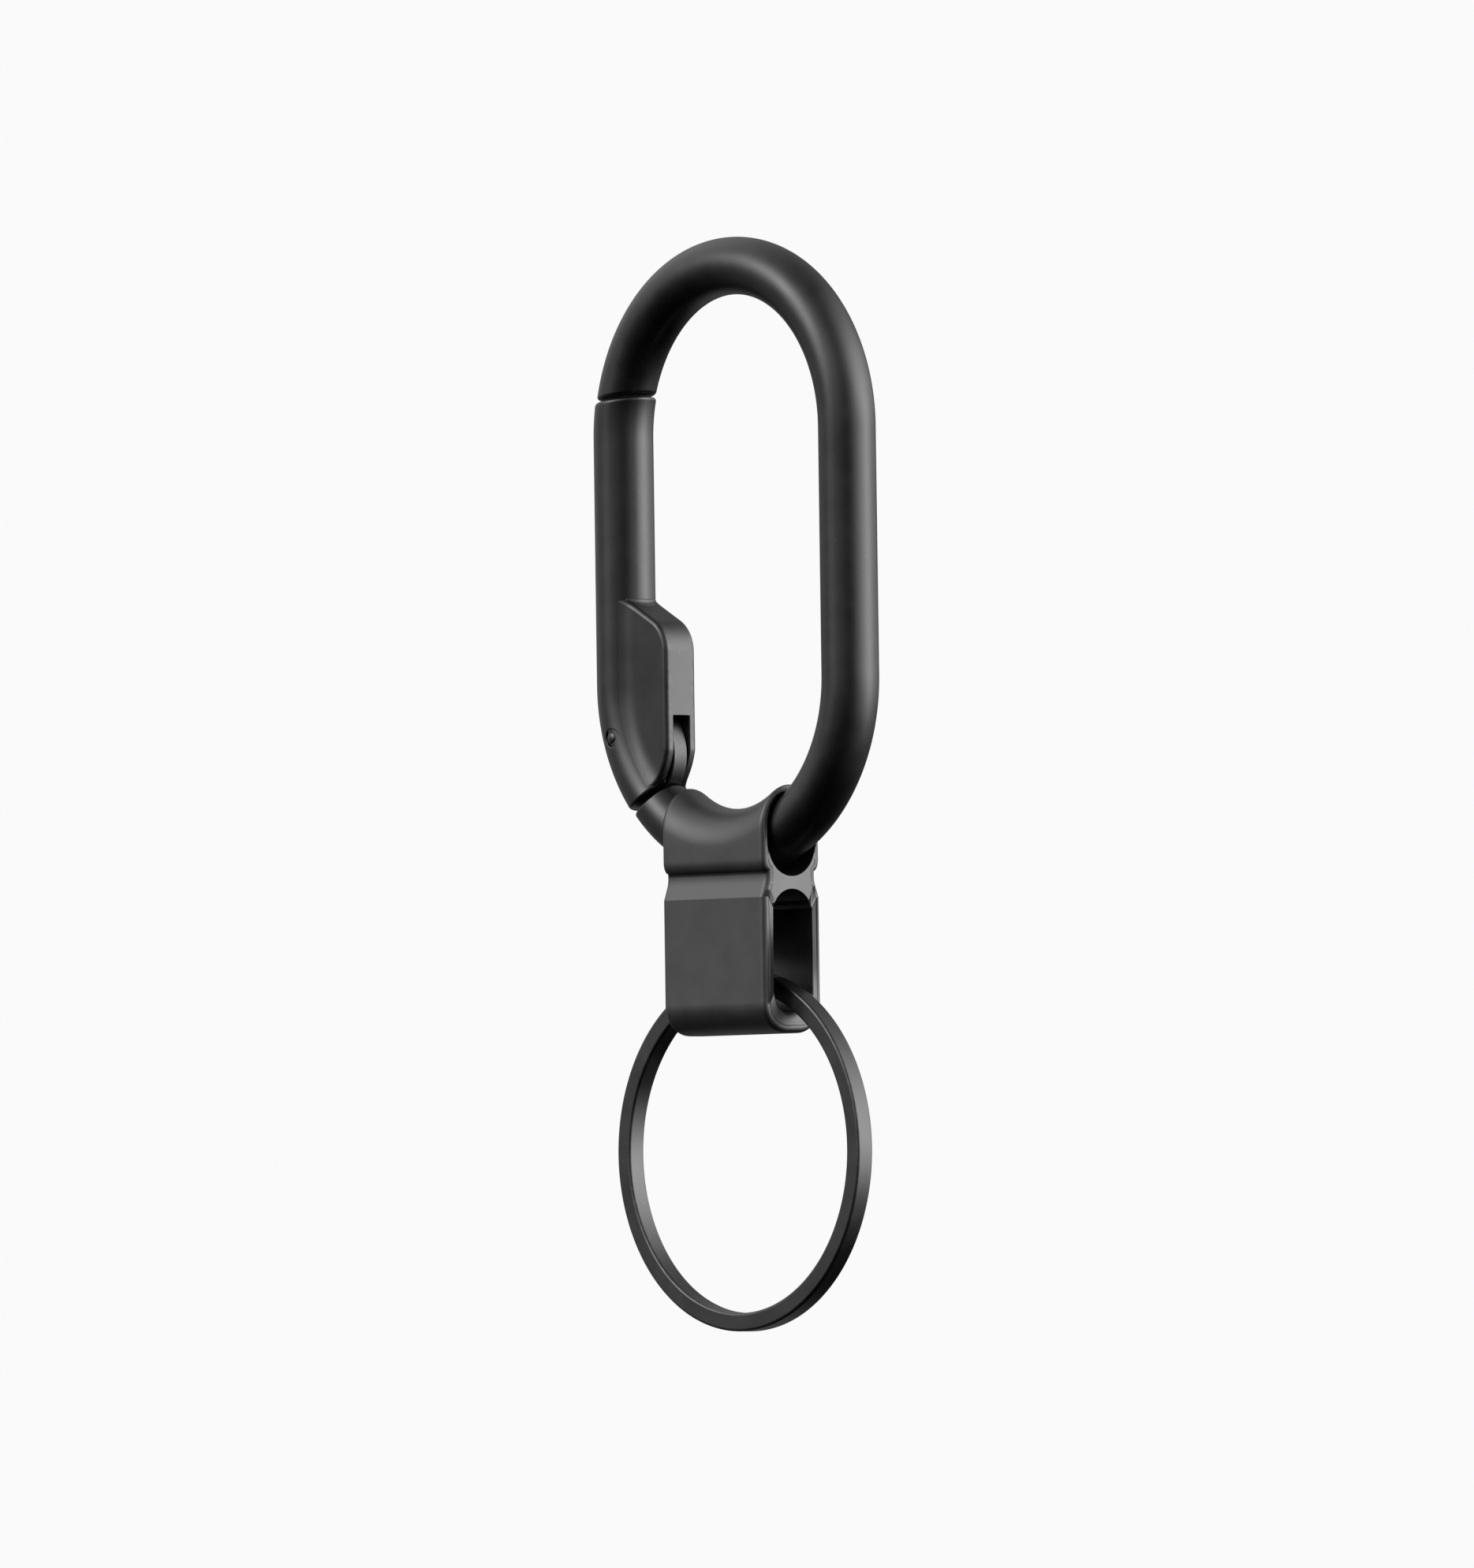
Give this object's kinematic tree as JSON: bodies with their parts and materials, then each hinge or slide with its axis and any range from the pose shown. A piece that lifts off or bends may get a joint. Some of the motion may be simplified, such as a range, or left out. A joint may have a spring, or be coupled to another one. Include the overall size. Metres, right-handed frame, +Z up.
{
  "type": "carabiner keyring",
  "caption": "Stadium-shaped round-bar carabiner with a sprung gate that opens inward, a swivel block hung on its lower bow and a split key ring through the block.",
  "frame": {"origin": "the point the keyring hangs on, inside the top of the carabiner's upper bow, on the bar's middle plane", "axes": "+Z up to the hanging point, +X from the gate towards the spine, +Y through the carabiner's flat side; the carabiner and the ring lie in the XZ plane"},
  "size_m": [0.0327, 0.0064, 0.0911],
  "materials": {
    "frame_coating": "satin black coating",
    "gate_coating": "satin black coating",
    "pin_coating": "satin black coating",
    "spring_steel": "drawn spring wire",
    "plunger_steel": "turned steel",
    "block_coating": "matte black coating",
    "ring_coating": "satin black coating"
  },
  "bodies": {
    "frame": {"carabiner_frame": "frame_coating"},
    "gate": {"gate": "gate_coating", "pivot_pin": "pin_coating", "gate_spring": "spring_steel"},
    "plunger": {"spring_plunger": "plunger_steel"},
    "block": {"swivel_block": "block_coating"},
    "ring": {"key_ring": "ring_coating"}
  },
  "joints": [
    {"name": "gate_hinge", "type": "hinge", "parent": "frame", "child": "gate", "pos_m": [-0.01316, 0, -0.03656], "axis": [0, 1, 0], "range_deg": [0, 18], "stiffness_Nm_per_rad": 0.05, "springref_deg": -22.92},
    {"name": "plunger_slide", "type": "slide", "parent": "gate", "child": "plunger", "axis": [0, 0, 1], "range_m": [0, 0.00072], "deforming": ["gate_spring"]},
    {"name": "block_swing", "type": "hinge", "parent": "frame", "child": "block", "pos_m": [0, 0, -0.046], "axis": [1, 0, 0], "range_deg": [-12, 12]},
    {"name": "ring_swing", "type": "hinge", "parent": "block", "child": "ring", "pos_m": [0, 0, -0.0577], "axis": [1, 0, 0], "range_deg": [-90, 90]}
  ],
  "couplings": [
    {"joint": "plunger_slide", "follows": "gate_hinge", "m_per_rad": 0.00224}
  ]
}
